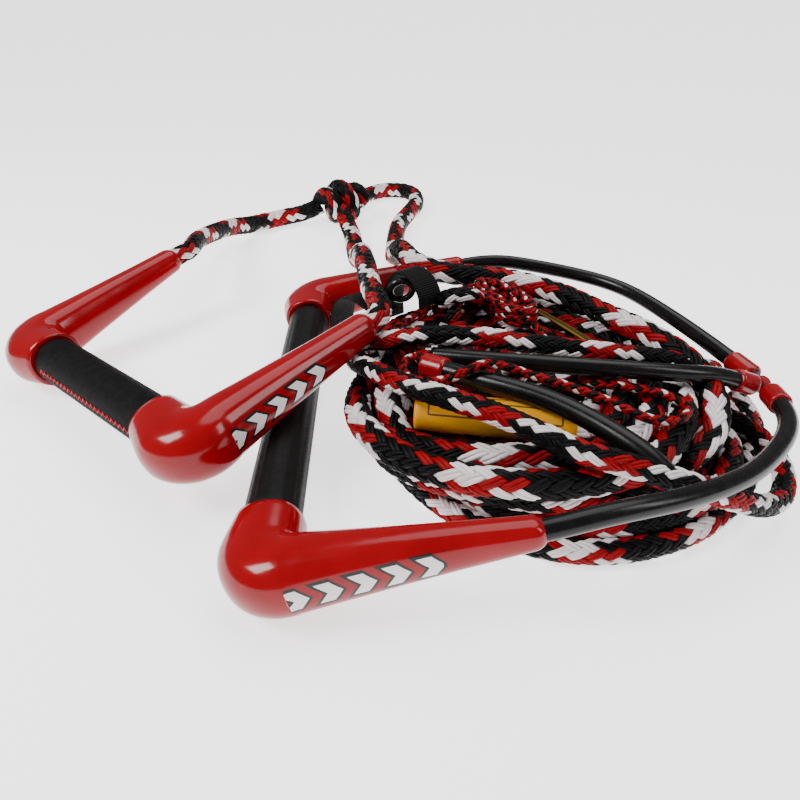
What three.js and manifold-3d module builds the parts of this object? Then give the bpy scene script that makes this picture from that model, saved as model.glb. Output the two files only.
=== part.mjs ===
// Two-handle tow rope set: a wide foil handle, a short surf handle, their ropes and a rope keeper.
// Millimetres, +Z up. The origin is the middle of the coil's underside, on the floor.
import * as THREE from "three";
import { mergeVertices } from "three/addons/utils/BufferGeometryUtils.js";
import Module from "manifold-3d";

const wasm = await Module();
wasm.setup();

// Driving dimensions.
const GAP = 0.4; // clearance between pieces that touch
const ROPE_D = 17; // thick braided surf rope
const RUN_D = 13; // the surf rope's thinner part
const LINE_D = 5.5; // thin braided foil line
const LEG_D = 10.5; // hose on the foil bridle legs and lead
const CHAFE_D = 11.5; // chafe hose on the boat-end loop
const CORE_D = 5; // bridle cord inside the hoses
const BAR_R = 11; // both handle bars
const BAR_WALL = 1.6;
const PLUG_LENGTH = 13.5; // end plug inside each bar end
const PLUG_TO_CORE = 0.5; // gap between a plug and the float core
const BAR_SHORT = 4; // corner centre to the bar's end
const SOCKET_FAR = 30; // how far the leg socket's cutter runs past the arm's tip
const SLEEVE_WALL = 2; // red end sleeves on the hoses
const SLEEVE_LENGTH = 16;
const FAR_SLEEVE_LENGTH = 20;
const TAG_R = 11;
const TAG_INNER_R = 9.6;
const TAG_BED_R = 11.6; // trough in the coil that the tag lies in
const BAND_WIDTH = 20;
const BAND_THICK = 2.2;
const TAIL_WIDTH = 22;
const TAIL_THICK = 1.6;
const TAPE_WIDTH = 5;
const TAPE_THICK = 1.2;
const COIL_LOW_R = 125;
const COIL_LOW_X = 9;
const COIL_LOW_Y = -2;
const COIL_LOW_TOP = 33;
const COIL_TOP_R = 112;
const COIL_TOP = 50;
const COIL_TOP_X = -20;
const COIL_TOP_Y = -13;

const FOIL = {
  spacing: 301, // between the two corner centres
  collar: 34.7, // corner centre to the end of the grip
  reach: 124, // corner centre to the arm's tip
  splay: THREE.MathUtils.degToRad(2.3),
  gripR: 15,
  corner: 17, // radius of the centreline round the corner
  bulge: 2.6, // how far the corner swells outwards
  place: [-164, -8.2, 20],
  heading: THREE.MathUtils.degToRad(1.9),
  tilt: THREE.MathUtils.degToRad(13.7),
  dip: 0,
  halfHeights: [17.3, 17.6, 17.8, 17.4, 15.4, 13, 10.4, 7.6],
  halfWidths: [17.5, 18, 18, 17, 13.6, 10.8, 8.8, 7.4],
};
const SURF = {
  spacing: 210,
  collar: 36,
  reach: 124,
  splay: THREE.MathUtils.degToRad(4.5),
  gripR: 15.5,
  corner: 18,
  bulge: 4,
  place: [-282.5, -13.5, 31.2],
  heading: THREE.MathUtils.degToRad(47.4),
  tilt: THREE.MathUtils.degToRad(13.4),
  dip: THREE.MathUtils.degToRad(-3.8),
  halfHeights: [18, 18.5, 19, 18.3, 16, 13.8, 11.6, 9.6],
  halfWidths: [18, 18, 17.5, 16.5, 13.6, 11.8, 10.4, 9.6],
};

// Materials.
function finish(color, roughness, metalness = 0) {
  return new THREE.MeshStandardMaterial({ color, roughness, metalness });
}
const RED_GLOSS = 0xc4000c;
const BLACK = 0x141416;

const model = new THREE.Group();

function addPiece(parent, name, geometry, material) {
  const mesh = new THREE.Mesh(geometry, material);
  mesh.name = name;
  parent.add(mesh);
  return mesh;
}

// Boolean cuts.
function toSolid(geometry) {
  const bare = geometry.clone();
  bare.deleteAttribute("normal");
  bare.deleteAttribute("uv");
  const merged = mergeVertices(bare, 1e-4);
  return new wasm.Manifold(new wasm.Mesh({
    numProp: 3,
    vertProperties: new Float32Array(merged.attributes.position.array),
    triVerts: new Uint32Array(merged.index.array),
  }));
}

function fromSolid(solid) {
  const mesh = solid.getMesh();
  const geometry = new THREE.BufferGeometry();
  geometry.setAttribute("position", new THREE.BufferAttribute(new Float32Array(mesh.vertProperties), 3));
  geometry.setIndex(new THREE.BufferAttribute(new Uint32Array(mesh.triVerts), 1));
  geometry.computeVertexNormals();
  return geometry;
}

function cut(geometry, ...tools) {
  let solid = toSolid(geometry);
  for (const tool of tools) solid = solid.subtract(toSolid(tool));
  return fromSolid(solid);
}

// A round rod between two points.
function rod(start, end, radius, sides = 24) {
  const from = new THREE.Vector3(...start);
  const to = new THREE.Vector3(...end);
  const along = to.clone().sub(from);
  const geometry = new THREE.CylinderGeometry(radius, radius, along.length(), sides);
  const turn = new THREE.Quaternion().setFromUnitVectors(new THREE.Vector3(0, 1, 0), along.clone().normalize());
  geometry.applyQuaternion(turn);
  const middle = from.clone().add(to).multiplyScalar(0.5);
  geometry.translate(middle.x, middle.y, middle.z);
  return geometry;
}

// A round pipe along Y between two stations, from a closed turned profile.
function pipeAlongY(y0, y1, outer, inner, sides = 32) {
  const profile = [
    new THREE.Vector2(inner, y0),
    new THREE.Vector2(outer, y0),
    new THREE.Vector2(outer, y1),
    new THREE.Vector2(inner, y1),
    new THREE.Vector2(inner, y0),
  ];
  return new THREE.LatheGeometry(profile, sides);
}

function polygon(radius, sides) {
  const corners = [];
  for (let i = 0; i < sides; i += 1) {
    const angle = (i / sides) * Math.PI * 2;
    corners.push(new THREE.Vector2(radius * Math.cos(angle), radius * Math.sin(angle)));
  }
  return corners;
}

function smoothCurve(route) {
  const points = route.map((p) => new THREE.Vector3(...p));
  return new THREE.CatmullRomCurve3(points, false, "centripetal");
}

// A cord or hose: a round section swept along a smooth curve through the route's points.
function hose(route, diameter, steps, sides = 10, boreR = 0) {
  const curve = smoothCurve(route);
  const section = new THREE.Shape(polygon(diameter / 2, sides));
  if (boreR > 0) section.holes.push(new THREE.Path(polygon(boreR, sides).reverse()));
  return new THREE.ExtrudeGeometry(section, { steps, extrudePath: curve, bevelEnabled: false });
}

// A flat strap swept along a route; across is the horizontal direction of its width.
function strap(route, width, thickness, across, steps) {
  const curve = smoothCurve(route);
  const side = new THREE.Vector3(...across).normalize();
  const stations = [];
  for (let i = 0; i <= steps; i += 1) {
    const point = curve.getPoint(i / steps);
    const along = curve.getTangent(i / steps);
    const up = new THREE.Vector3().crossVectors(along, side).normalize();
    const w = side.clone().multiplyScalar(width / 2);
    const h = up.multiplyScalar(thickness / 2);
    stations.push([
      point.clone().sub(w).sub(h),
      point.clone().add(w).sub(h),
      point.clone().add(w).add(h),
      point.clone().sub(w).add(h),
    ]);
  }
  return loft(stations);
}

// Joins a row of closed rings with the same number of points into one closed body.
function loft(rings) {
  const count = rings[0].length;
  const position = [];
  for (const ring of rings) {
    for (const p of ring) position.push(p.x, p.y, p.z);
  }
  const index = [];
  for (let r = 0; r + 1 < rings.length; r += 1) {
    for (let i = 0; i < count; i += 1) {
      const a = r * count + i;
      const b = r * count + ((i + 1) % count);
      const c = a + count;
      const d = b + count;
      index.push(a, b, d, a, d, c);
    }
  }
  const last = (rings.length - 1) * count;
  const middles = [rings[0], rings[rings.length - 1]].map((ring) => {
    const middle = new THREE.Vector3();
    for (const p of ring) middle.add(p);
    return middle.divideScalar(count);
  });
  const firstCap = position.length / 3;
  for (const m of middles) position.push(m.x, m.y, m.z);
  for (let i = 0; i < count; i += 1) {
    const j = (i + 1) % count;
    index.push(firstCap, j, i);
    index.push(firstCap + 1, last + i, last + j);
  }
  const geometry = new THREE.BufferGeometry();
  geometry.setAttribute("position", new THREE.Float32BufferAttribute(position, 3));
  geometry.setIndex(index);
  if (signedVolume(geometry) < 0) geometry.setIndex(index.slice().reverse());
  geometry.computeVertexNormals();
  return geometry;
}

function signedVolume(geometry) {
  const p = geometry.attributes.position;
  const index = geometry.index.array;
  let sum = 0;
  const a = new THREE.Vector3();
  const b = new THREE.Vector3();
  const c = new THREE.Vector3();
  for (let i = 0; i < index.length; i += 3) {
    a.fromBufferAttribute(p, index[i]);
    b.fromBufferAttribute(p, index[i + 1]);
    c.fromBufferAttribute(p, index[i + 2]);
    sum += a.dot(b.cross(c)) / 6;
  }
  return sum;
}

// One moulded arm in the handle's own frame: bar along Y, arms along +X. side is -1 or +1.
function armShape(spec, side) {
  const cornerY = (side * spec.spacing) / 2;
  const bend = spec.corner;
  const stations = []; // x, y, place in the list of sections, share of the bulge
  const collarEnd = cornerY - side * spec.collar;
  stations.push([0, collarEnd, 0, 0]);
  stations.push([0, cornerY - side * (spec.collar * 0.6 + bend * 0.4), 0.5, 0.4]);
  const turns = 8;
  for (let i = 0; i <= turns; i += 1) {
    const angle = (i / turns) * (Math.PI / 2);
    const x = bend - bend * Math.cos(angle);
    const y = cornerY - side * (bend - bend * Math.sin(angle));
    stations.push([x, y, 1 + (i / turns) * 2, 0.8 + 0.2 * Math.sin(2 * angle) - 0.8 * (i / turns) ** 2]);
  }
  const lean = Math.tan(spec.splay);
  const tipR = spec.halfHeights[7];
  const straight = spec.reach - tipR * 0.2 - bend;
  const spans = 12;
  for (let i = 1; i <= spans; i += 1) {
    const x = bend + (i / spans) * straight;
    stations.push([x, cornerY + side * lean * (x - bend), 3 + (i / spans) * 4, 0]);
  }
  const rings = [];
  for (let k = 0; k < stations.length; k += 1) {
    const [x, y, place, share] = stations[k];
    const before = stations[Math.max(0, k - 1)];
    const after = stations[Math.min(stations.length - 1, k + 1)];
    const along = new THREE.Vector3(after[0] - before[0], after[1] - before[1], 0).normalize();
    const outwards = new THREE.Vector3(-along.y, along.x, 0).multiplyScalar(side);
    const swell = spec.bulge * share;
    const centre = [x + outwards.x * swell, y + outwards.y * swell, 0];
    const w = valueAt(spec.halfWidths, place) + swell;
    const h = valueAt(spec.halfHeights, place);
    rings.push(oval(centre, outwards, w, h));
  }
  const [endX, endY] = stations[stations.length - 1];
  const ahead = new THREE.Vector3(1, side * lean, 0).normalize();
  const across = new THREE.Vector3(-ahead.y, ahead.x, 0).multiplyScalar(side);
  for (const angle of [0.35, 0.7, 1.0, 1.25, 1.42]) {
    const centre = [endX + ahead.x * tipR * Math.sin(angle), endY + ahead.y * tipR * Math.sin(angle), 0];
    const scale = Math.cos(angle);
    rings.push(oval(centre, across, spec.halfWidths[7] * scale, tipR * scale));
  }
  return loft(rings);
}

function valueAt(list, place) {
  const low = Math.min(list.length - 1, Math.floor(place));
  const high = Math.min(list.length - 1, low + 1);
  const t = place - low;
  const eased = low < 3 ? t : t * t * (3 - 2 * t) * 0.25 + t * 0.75;
  return list[low] + (list[high] - list[low]) * eased;
}

// A superellipse ring, squarer than an ellipse.
function oval(centre, across, w, h) {
  const sides = 24;
  const ring = [];
  const squareness = 2 / 2.5;
  for (let i = 0; i < sides; i += 1) {
    const angle = (i / sides) * Math.PI * 2;
    const c = Math.cos(angle);
    const s = Math.sin(angle);
    const u = Math.sign(c) * Math.abs(c) ** squareness * w;
    const v = Math.sign(s) * Math.abs(s) ** squareness * h;
    ring.push(new THREE.Vector3(centre[0] + across.x * u, centre[1] + across.y * u, centre[2] + v));
  }
  return ring;
}

// Everything on one handle: bar, float core, two end plugs, grip and two arms.
function buildHandle(prefix, spec, gripMaterial, legR, legDepth) {
  const group = new THREE.Group();
  group.position.set(...spec.place);
  group.rotation.order = "ZXY";
  group.rotation.set(spec.dip, -spec.tilt, spec.heading);
  model.add(group);

  const barHalf = spec.spacing / 2 - BAR_SHORT;
  const gripHalf = spec.spacing / 2 - spec.collar - GAP;
  const boreR = BAR_R - BAR_WALL;
  addPiece(group, `${prefix}_bar_tube`, pipeAlongY(-barHalf, barHalf, BAR_R, boreR), finish(0xb9bcc0, 0.35, 1));
  const coreHalf = barHalf - PLUG_LENGTH - PLUG_TO_CORE;
  const floatCore = rod([0, -coreHalf, 0], [0, coreHalf, 0], boreR - GAP);
  addPiece(group, `${prefix}_float_core`, floatCore, finish(0xe8e4d8, 0.9));
  for (const [end, side] of [["near", -1], ["far", 1]]) {
    const outer = side * barHalf;
    const inner = side * (barHalf - PLUG_LENGTH);
    const plug = rod([0, inner, 0], [0, outer, 0], boreR - GAP);
    addPiece(group, `${prefix}_${end}_end_plug`, plug, finish(BLACK, 0.6));
    const barPocket = rod([0, 0, 0], [0, side * (barHalf + GAP), 0], BAR_R + GAP, 32);
    const lean = Math.tan(spec.splay);
    const tipX = spec.reach + SOCKET_FAR;
    const rootX = spec.reach - legDepth;
    const onArm = (x) => [x, side * (spec.spacing / 2 + lean * (x - spec.corner)), 0];
    const socket = rod(onArm(rootX), onArm(tipX), legR + GAP, 24);
    const arm = cut(armShape(spec, side), barPocket, socket);
    addPiece(group, `${prefix}_${end}_arm`, arm, finish(RED_GLOSS, 0.18));
  }
  const grip = pipeAlongY(-gripHalf, gripHalf, spec.gripR, BAR_R + GAP, 36);
  addPiece(group, `${prefix}_grip`, grip, gripMaterial);
  return group;
}

const foil = buildHandle("foil", FOIL, finish(0x161617, 0.85), LEG_D / 2, 22);
const surf = buildHandle("surf", SURF, finish(0x1b1b1c, 0.95), CORE_D / 2 + 1.5, 46);

// The surf rope's tail inside each surf arm, from its stopper to the arm's mouth.
for (const [end, side] of [["near", -1], ["far", 1]]) {
  const lean = Math.tan(SURF.splay);
  const onArm = (x) => [x, side * (SURF.spacing / 2 + lean * (x - SURF.corner)), 0];
  const tail = rod(onArm(SURF.reach - 45), onArm(SURF.reach + 3), CORE_D / 2 + 1, 12);
  addPiece(surf, `surf_${end}_leg_tail`, tail, finish(0xd8c8c8, 0.9));
}

// Points on the handles in the part's own frame.
model.updateMatrixWorld(true);
function tipOf(group, spec, side, beyond) {
  const lean = Math.tan(spec.splay);
  const x = spec.reach + beyond;
  const point = new THREE.Vector3(x, side * (spec.spacing / 2 + lean * (x - spec.corner)), 0);
  return group.localToWorld(point).toArray();
}

// The coil of surf rope: a low wide layer and a smaller one on it, pushed towards the handles.
function disc(radius, low, high, edge) {
  const profile = [
    new THREE.Vector2(0, low),
    new THREE.Vector2(radius - edge * 0.4, low),
    new THREE.Vector2(radius, low + edge),
    new THREE.Vector2(radius, high - edge),
    new THREE.Vector2(radius - edge, high),
    new THREE.Vector2(0, high),
  ];
  return new THREE.LatheGeometry(profile, 48).rotateX(Math.PI / 2);
}
const ROPE_FINISH = finish(0x8a2a2e, 0.9);
const coilLow = disc(COIL_LOW_R, 0, COIL_LOW_TOP, 6).translate(COIL_LOW_X, COIL_LOW_Y, 0);
addPiece(model, "surf_coil_low", coilLow, ROPE_FINISH);
const tagAxis = [[-87, -57, 44.5], [0, -71, 44.5]];
const coilTop = disc(COIL_TOP_R, COIL_LOW_TOP + GAP, COIL_TOP, 5).translate(COIL_TOP_X, COIL_TOP_Y, 0);
const tagBed = rod([-90, -56.5, 44.5], [3, -71.5, 44.5], TAG_BED_R, 24);
addPiece(model, "surf_coil_top", cut(coilTop, tagBed), ROPE_FINISH);

// The tag is a sleeve round one run of the rope.
function tube(start, end, outer, inner, sides) {
  return cut(rod(start, end, outer, sides), rod(extend(end, start, 2), extend(start, end, 2), inner, sides));
}
function extend(from, to, by) {
  const a = new THREE.Vector3(...from);
  const b = new THREE.Vector3(...to);
  return b.clone().add(b.clone().sub(a).normalize().multiplyScalar(by)).toArray();
}
addPiece(model, "warning_tag", tube(...tagAxis, TAG_R, TAG_INNER_R, 32), finish(0xf5a800, 0.45));
const taggedRun = rod([-88.5, -56.7, 44.5], [1.5, -71.3, 44.5], ROPE_D / 2, 12);
addPiece(model, "tagged_rope_run", taggedRun, ROPE_FINISH);

// Surf bridle: two legs from the surf arms to the fist knot, and the lead to the coil.
const KNOT = [-165, 420, 24];
const surfNearTip = tipOf(surf, SURF, -1, 10.5);
const surfFarTip = tipOf(surf, SURF, 1, 10.5);
const surfNearLeg = [
  surfNearTip,
  [-108.8, 16, 69.5],
  [-109.5, 31, 68.8],
  [-115, 58, 66.5],
  [-119, 90, 63],
  [-122, 120, 60],
  [-126, 146, 58],
  [-129, 175, 51],
  [-133, 215, 32],
  [-138, 260, 14],
  [-143, 300, 8.8],
  [-149, 345, 8.8],
  [-156, 375, 12],
  [-161, 389, 19],
];
const surfFarLeg = [
  surfFarTip,
  [-275, 172, 54.5],
  [-275.8, 190, 53],
  [-279, 212, 49],
  [-281, 240, 43],
  [-281, 280, 34],
  [-276, 326, 24],
  [-265, 364, 14],
  [-250, 389, 10.5],
  [-230, 405, 10.5],
  [-211, 411, 13],
  [-198.5, 414, 19],
];
const surfLead = [
  [-152, 449, 15],
  [-148, 470, 10],
  [-138, 500, 8.8],
  [-116, 520, 8.8],
  [-92, 518, 8.8],
  [-78, 497, 8.8],
  [-76, 461, 8.8],
  [-86, 420, 8.8],
  [-97, 379, 8.8],
  [-101, 330, 8.8],
  [-102, 280, 12],
  [-101, 235, 26],
  [-99, 195, 44],
  [-96, 170, 56],
  [-92, 147, 61],
  [-84, 124, 62],
  [-66, 109, 61],
  [-42, 104, 59.5],
  [-20, 99, 59],
  [14, 76, 59],
  [41, 38, 59],
  [62, 8, 59],
];
addPiece(model, "surf_near_leg", hose(surfNearLeg, ROPE_D, 14, 12), ROPE_FINISH);
addPiece(model, "surf_far_leg", hose(surfFarLeg, ROPE_D, 12, 12), ROPE_FINISH);
addPiece(model, "surf_lead", hose(surfLead, ROPE_D, 26, 12), ROPE_FINISH);
const knotShape = new THREE.SphereGeometry(1, 28, 18).scale(33, 28, 23.5).rotateZ(0.5);
addPiece(model, "surf_knot", knotShape.translate(...KNOT), ROPE_FINISH);

// Two loose runs of the surf rope that lie over the coil.
const overTag = [
  [2, -117, 57],
  [-10, -111, 57.2],
  [-23, -102, 59],
  [-48, -88, 63.5],
  [-72, -75, 64.8],
  [-92, -60, 63],
  [-106, -42, 59],
  [-115, -24, 57.2],
];
const overMiddle = [
  [-100, 3, 64],
  [-76, -1, 66],
  [-50, -8, 66],
  [-24, -14, 65],
  [5, -18, 63],
  [35, -19, 60],
  [62, -21, 57.2],
];
addPiece(model, "surf_run_front", hose(overTag, RUN_D, 10, 12), ROPE_FINISH);
addPiece(model, "surf_run_middle", hose(overMiddle, RUN_D, 10, 12), ROPE_FINISH);

// Foil bridle: two hose legs to the apex, and the lead hose over the coil.
const APEX = [124, -24, 41.5];
const nearHose = [
  tipOf(foil, FOIL, -1, -20),
  tipOf(foil, FOIL, -1, 6),
  [-9, -155, 56],
  [21, -146, 54.5],
  [52, -131, 50],
  [79, -113, 46],
  [98, -95, 44.5],
  [116, -74, 44],
  [123, -58, 43.5],
  [125, -42, 42],
  [124.5, -33, 41.6],
];
const farHose = [
  tipOf(foil, FOIL, 1, -20),
  tipOf(foil, FOIL, 1, 6),
  [-14, 148, 55],
  [2, 143, 54],
  [42, 132, 50],
  [74, 110, 48],
  [97, 64, 45.5],
  [112, 22, 43.5],
  [120, -6, 42.2],
  [122.6, -15, 41.8],
];
const leadHose = [
  [117.5, -25, 42],
  [112, -26.5, 43.5],
  [104, -29.5, 48],
  [93, -33, 54],
  [80, -37, 56.5],
  [62, -40, 59],
  [31, -41, 62],
  [0, -37, 62],
  [-25, -32, 61.5],
  [-48, -24, 59],
  [-76, -13, 55.6],
];
const HOSE_FINISH = finish(0x17171a, 0.25);
const CORE_FINISH = finish(0x7a1a20, 0.9);
function hoseWithCore(name, route, diameter, steps) {
  addPiece(model, `${name}_hose`, hose(route, diameter, steps, 12, CORE_D / 2 + GAP), HOSE_FINISH);
  addPiece(model, `${name}_core`, hose(route, CORE_D, steps, 8), CORE_FINISH);
}
hoseWithCore("foil_near", nearHose, LEG_D, 18);
hoseWithCore("foil_far", farHose, LEG_D, 18);
hoseWithCore("foil_lead", leadHose, LEG_D, 18);

// Red end sleeves over the hoses, and the splice that joins them.
const SLEEVE_FINISH = finish(0xb80010, 0.3);
function sleeve(name, route, diameter, from, to) {
  const curve = smoothCurve(route);
  const run = [];
  for (let i = 0; i <= 6; i += 1) {
    run.push(curve.getPointAt(from + ((to - from) * i) / 6).toArray());
  }
  const shape = hose(run, diameter + 2 * SLEEVE_WALL, 6, 16, diameter / 2 + 2 * GAP);
  addPiece(model, name, shape, SLEEVE_FINISH);
}
function lengthOf(route) {
  return smoothCurve(route).getLength();
}
function sleeveAtEnd(name, route, diameter, size) {
  sleeve(name, route, diameter, 1 - size / lengthOf(route), 1);
}
function sleeveAtStart(name, route, diameter, size) {
  sleeve(name, route, diameter, 0, size / lengthOf(route));
}
const apex = new THREE.SphereGeometry(1, 20, 14).scale(5, 6, 5.5).translate(...APEX);
addPiece(model, "foil_apex_splice", apex, finish(0x3a1416, 0.8));
sleeveAtEnd("foil_near_sleeve", nearHose, LEG_D, SLEEVE_LENGTH);
sleeveAtEnd("foil_far_sleeve", farHose, LEG_D, FAR_SLEEVE_LENGTH);
sleeveAtStart("foil_lead_sleeve", leadHose, LEG_D, SLEEVE_LENGTH);

// Foil line: a thin cord from the lead hose to a small hank, and on to the boat-end loop.
const lineOut = [
  [-77, -12, 55.6],
  [-86, -6, 54],
  [-96, 6, 53.4],
  [-100, 24, 53.4],
  [-90, 42, 53.4],
  [-78, 58, 53.4],
  [-66, 73, 53.6],
  [-54, 85, 55],
  [-42.5, 89.5, 56.5],
];
const lineBack = [
  [-7.2, 27.5, 56.5],
  [-4, 17, 54.5],
  [-1, 4, 53.4],
  [3, -20, 53.4],
  [14, -40, 53.4],
  [34, -46, 53.4],
  [52, -54, 53.4],
  [60, -67, 53.4],
  [52, -79, 53.6],
  [36, -80, 54.5],
  [20, -70, 57],
  [5, -61, 59.5],
  [-12, -54, 62],
  [-27, -50, 65],
  [-39, -48, 68.4],
  [-49, -50, 70.6],
  [-59, -54, 69],
  [-69, -55.5, 64.5],
];
addPiece(model, "foil_line_out", hose(lineOut, LINE_D, 12, 8), ROPE_FINISH);
addPiece(model, "foil_line_hank", hankShape(), ROPE_FINISH);

function hankShape() {
  const length = 62;
  const width = 30;
  const shape = new THREE.Shape();
  const half = (length - width) / 2;
  shape.absarc(0, half, width / 2, 0, Math.PI, false);
  shape.absarc(0, -half, width / 2, Math.PI, Math.PI * 2, false);
  shape.closePath();
  const body = new THREE.ExtrudeGeometry(shape, { depth: 15, bevelEnabled: false, curveSegments: 10 });
  return body.rotateZ(0.4636).translate(-22, 58, COIL_TOP + GAP);
}

// Boat-end loop of the foil line: a chafe hose with a red end sleeve, lying across the coil.
const boatHose = [
  [-82, -29, 58.3],
  [-69, -38, 59.3],
  [-51, -52, 61],
  [-23, -68, 62.2],
  [0, -86, 60],
  [14, -101, 57.5],
  [23, -112, 57.2],
  [31, -121, 53],
  [37, -127, 45],
];
addPiece(model, "boat_loop_hose", hose(boatHose, CHAFE_D, 12, 12, CORE_D / 2 + GAP), HOSE_FINISH);
addPiece(model, "boat_loop_core", hose(boatHose, CORE_D, 12, 8), CORE_FINISH);
sleeveAtStart("boat_loop_sleeve", boatHose, CHAFE_D, SLEEVE_LENGTH);
const lineToLoop = [
  ...lineBack,
  [-82, -51, 60],
  [-91, -40, 56.5],
  [-94, -28, 55],
  [-91, -19, 56.5],
  [-85.5, -20, 58],
  [-83.2, -25.6, 58.3],
];
addPiece(model, "foil_line_back", hose(lineToLoop, LINE_D, 36, 8), ROPE_FINISH);

// Rope keeper: a ribbed band arched over the coil, its ring, and the flat tail of its strap.
const KEEPER_FINISH = finish(0x121213, 0.6);
const bandRoute = [
  [-101, 88, 33.8],
  [-101.5, 88.5, 50],
  [-98, 84, 64],
  [-91.5, 75.5, 75.5],
  [-82, 64, 75],
  [-76, 56.5, 66],
  [-75, 55, 58],
];
addPiece(model, "keeper_band", strap(bandRoute, BAND_WIDTH, BAND_THICK, [0.79, 0.61, 0], 16), KEEPER_FINISH);
const tailRoute = [
  [-107, 58, 51.9],
  [-114, 69, 52.2],
  [-124, 84, 51.5],
  [-133, 98, 46],
  [-139, 107, 36],
  [-142, 111.5, 22],
  [-143, 113, 2],
];
addPiece(model, "keeper_tail", strap(tailRoute, TAIL_WIDTH, TAIL_THICK, [0.8, 0.6, 0], 16), KEEPER_FINISH);
const ringSection = new THREE.Path().absarc(8, 0, 2.4, 0, Math.PI * 2, false).getPoints(10);
const ring = new THREE.LatheGeometry(ringSection, 28).rotateX(0.25).rotateZ(0.15);
addPiece(model, "keeper_ring", ring.translate(-95, 68, 63.2), finish(0x0c0c0d, 0.12, 0.4));
const eyeSection = new THREE.Path().absarc(7.6, 0, 4.4, 0, Math.PI * 2, false).getPoints(10);
const eye = new THREE.LatheGeometry(eyeSection, 24).rotateX(0.2).rotateZ(0.58);
addPiece(model, "surf_rope_eye", eye.translate(-55, 51, 62.6), ROPE_FINISH);
const tapeRoute = [
  [-14, 83, 51],
  [-3, 67, 51],
  [8, 50, 51],
  [18, 32, 51],
  [27, 14, 51],
  [33, -4, 51],
];
addPiece(model, "tie_tape", strap(tapeRoute, TAPE_WIDTH, TAPE_THICK, [0.85, 0.5, 0], 10), finish(0x5a4a1c, 0.9));

export default model;
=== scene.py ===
# Two-handle tow rope set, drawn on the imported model.
# Route points are millimetres and become metres in route().
import math

import bpy
import numpy as np
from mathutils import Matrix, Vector


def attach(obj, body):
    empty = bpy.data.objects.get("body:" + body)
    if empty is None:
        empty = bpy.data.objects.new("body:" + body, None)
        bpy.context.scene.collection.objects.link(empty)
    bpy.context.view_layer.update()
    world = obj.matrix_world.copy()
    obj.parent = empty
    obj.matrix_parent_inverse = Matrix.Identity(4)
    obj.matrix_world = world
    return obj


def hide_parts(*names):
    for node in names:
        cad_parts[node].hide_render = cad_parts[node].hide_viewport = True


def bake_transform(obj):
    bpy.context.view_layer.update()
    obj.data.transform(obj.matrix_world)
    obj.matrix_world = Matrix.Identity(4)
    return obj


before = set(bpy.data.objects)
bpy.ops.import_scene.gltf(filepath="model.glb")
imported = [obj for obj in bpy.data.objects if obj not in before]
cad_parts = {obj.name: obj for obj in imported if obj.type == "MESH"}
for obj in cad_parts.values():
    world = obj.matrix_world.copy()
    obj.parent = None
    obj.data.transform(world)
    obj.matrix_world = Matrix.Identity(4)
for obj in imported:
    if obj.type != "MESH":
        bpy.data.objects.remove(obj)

MM = 0.001
TAU = 2 * math.pi

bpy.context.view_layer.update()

# Camera: at the near left of the set, looking along +Y and down.
CAMERA_PLACE = (-0.096, -0.367, 0.2517)
CAMERA_DOWN = 32.85
CAMERA_LENS = 29.76
camera_data = bpy.data.cameras.new("camera")
camera_data.lens = CAMERA_LENS
camera_data.sensor_width = 36
camera_data.clip_start = 0.01
camera = bpy.data.objects.new("camera", camera_data)
camera.location = CAMERA_PLACE
camera.rotation_euler = (math.radians(90 - CAMERA_DOWN), 0, 0)
bpy.context.scene.collection.objects.link(camera)
bpy.context.scene.camera = camera

# Sizes in millimetres.
ROPE_D = 17
RUN_D = 13
COIL_D = 14
ROPE_PITCH = 84
LINE_D = 5.5
LINE_PITCH = 24
LEG_D = 10.5
CHAFE_D = 11.5
FLOOR_LIFT = 0.3

RED = (0.27, 0.0, 0.003)
WHITE = (0.86, 0.78, 0.79)
BLACK = (0.0010, 0.0010, 0.0011)


# ---------- materials ----------
def new_material(name):
    material = bpy.data.materials.new(name)
    material.use_nodes = True
    tree = material.node_tree
    return material, tree, tree.nodes["Principled BSDF"]


def add_node(tree, kind, **values):
    made = tree.nodes.new(kind)
    for key, value in values.items():
        setattr(made, key, value)
    return made


def math_node(tree, operation, a, b=None, c=None):
    made = add_node(tree, "ShaderNodeMath", operation=operation)
    for i, value in enumerate((a, b, c)):
        if value is None:
            continue
        if isinstance(value, (int, float)):
            made.inputs[i].default_value = value
        else:
            tree.links.new(value, made.inputs[i])
    return made.outputs[0]


def times(tree, a, b):
    return math_node(tree, "MULTIPLY", a, b)


def above(tree, a, b):
    return math_node(tree, "GREATER_THAN", a, b)


def below(tree, a, b):
    return math_node(tree, "LESS_THAN", a, b)


def between(tree, value, low, high):
    return times(tree, above(tree, value, low), below(tree, value, high))


def mix_colour(tree, factor, a, b):
    made = add_node(tree, "ShaderNodeMix", data_type="RGBA")
    for socket, value in ((made.inputs[0], factor), (made.inputs[6], a), (made.inputs[7], b)):
        if isinstance(value, (int, float)):
            socket.default_value = value
        elif isinstance(value, tuple):
            socket.default_value = (*value, 1)
        else:
            tree.links.new(value, socket)
    return made.outputs[2]


def scale_colour(tree, colour, factor):
    made = add_node(tree, "ShaderNodeVectorMath", operation="SCALE")
    if isinstance(colour, tuple):
        made.inputs[0].default_value = colour
    else:
        tree.links.new(colour, made.inputs[0])
    tree.links.new(factor, made.inputs["Scale"])
    return made.outputs[0]


def noise_node(tree, vector, scale, detail=3.0, roughness=0.55):
    made = add_node(tree, "ShaderNodeTexNoise")
    made.inputs["Scale"].default_value = scale
    made.inputs["Detail"].default_value = detail
    made.inputs["Roughness"].default_value = roughness
    if vector is not None:
        tree.links.new(vector, made.inputs["Vector"])
    return made.outputs["Fac"]


def stretch(tree, vector, scales):
    made = add_node(tree, "ShaderNodeVectorMath", operation="MULTIPLY")
    tree.links.new(vector, made.inputs[0])
    made.inputs[1].default_value = scales
    return made.outputs[0]


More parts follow.
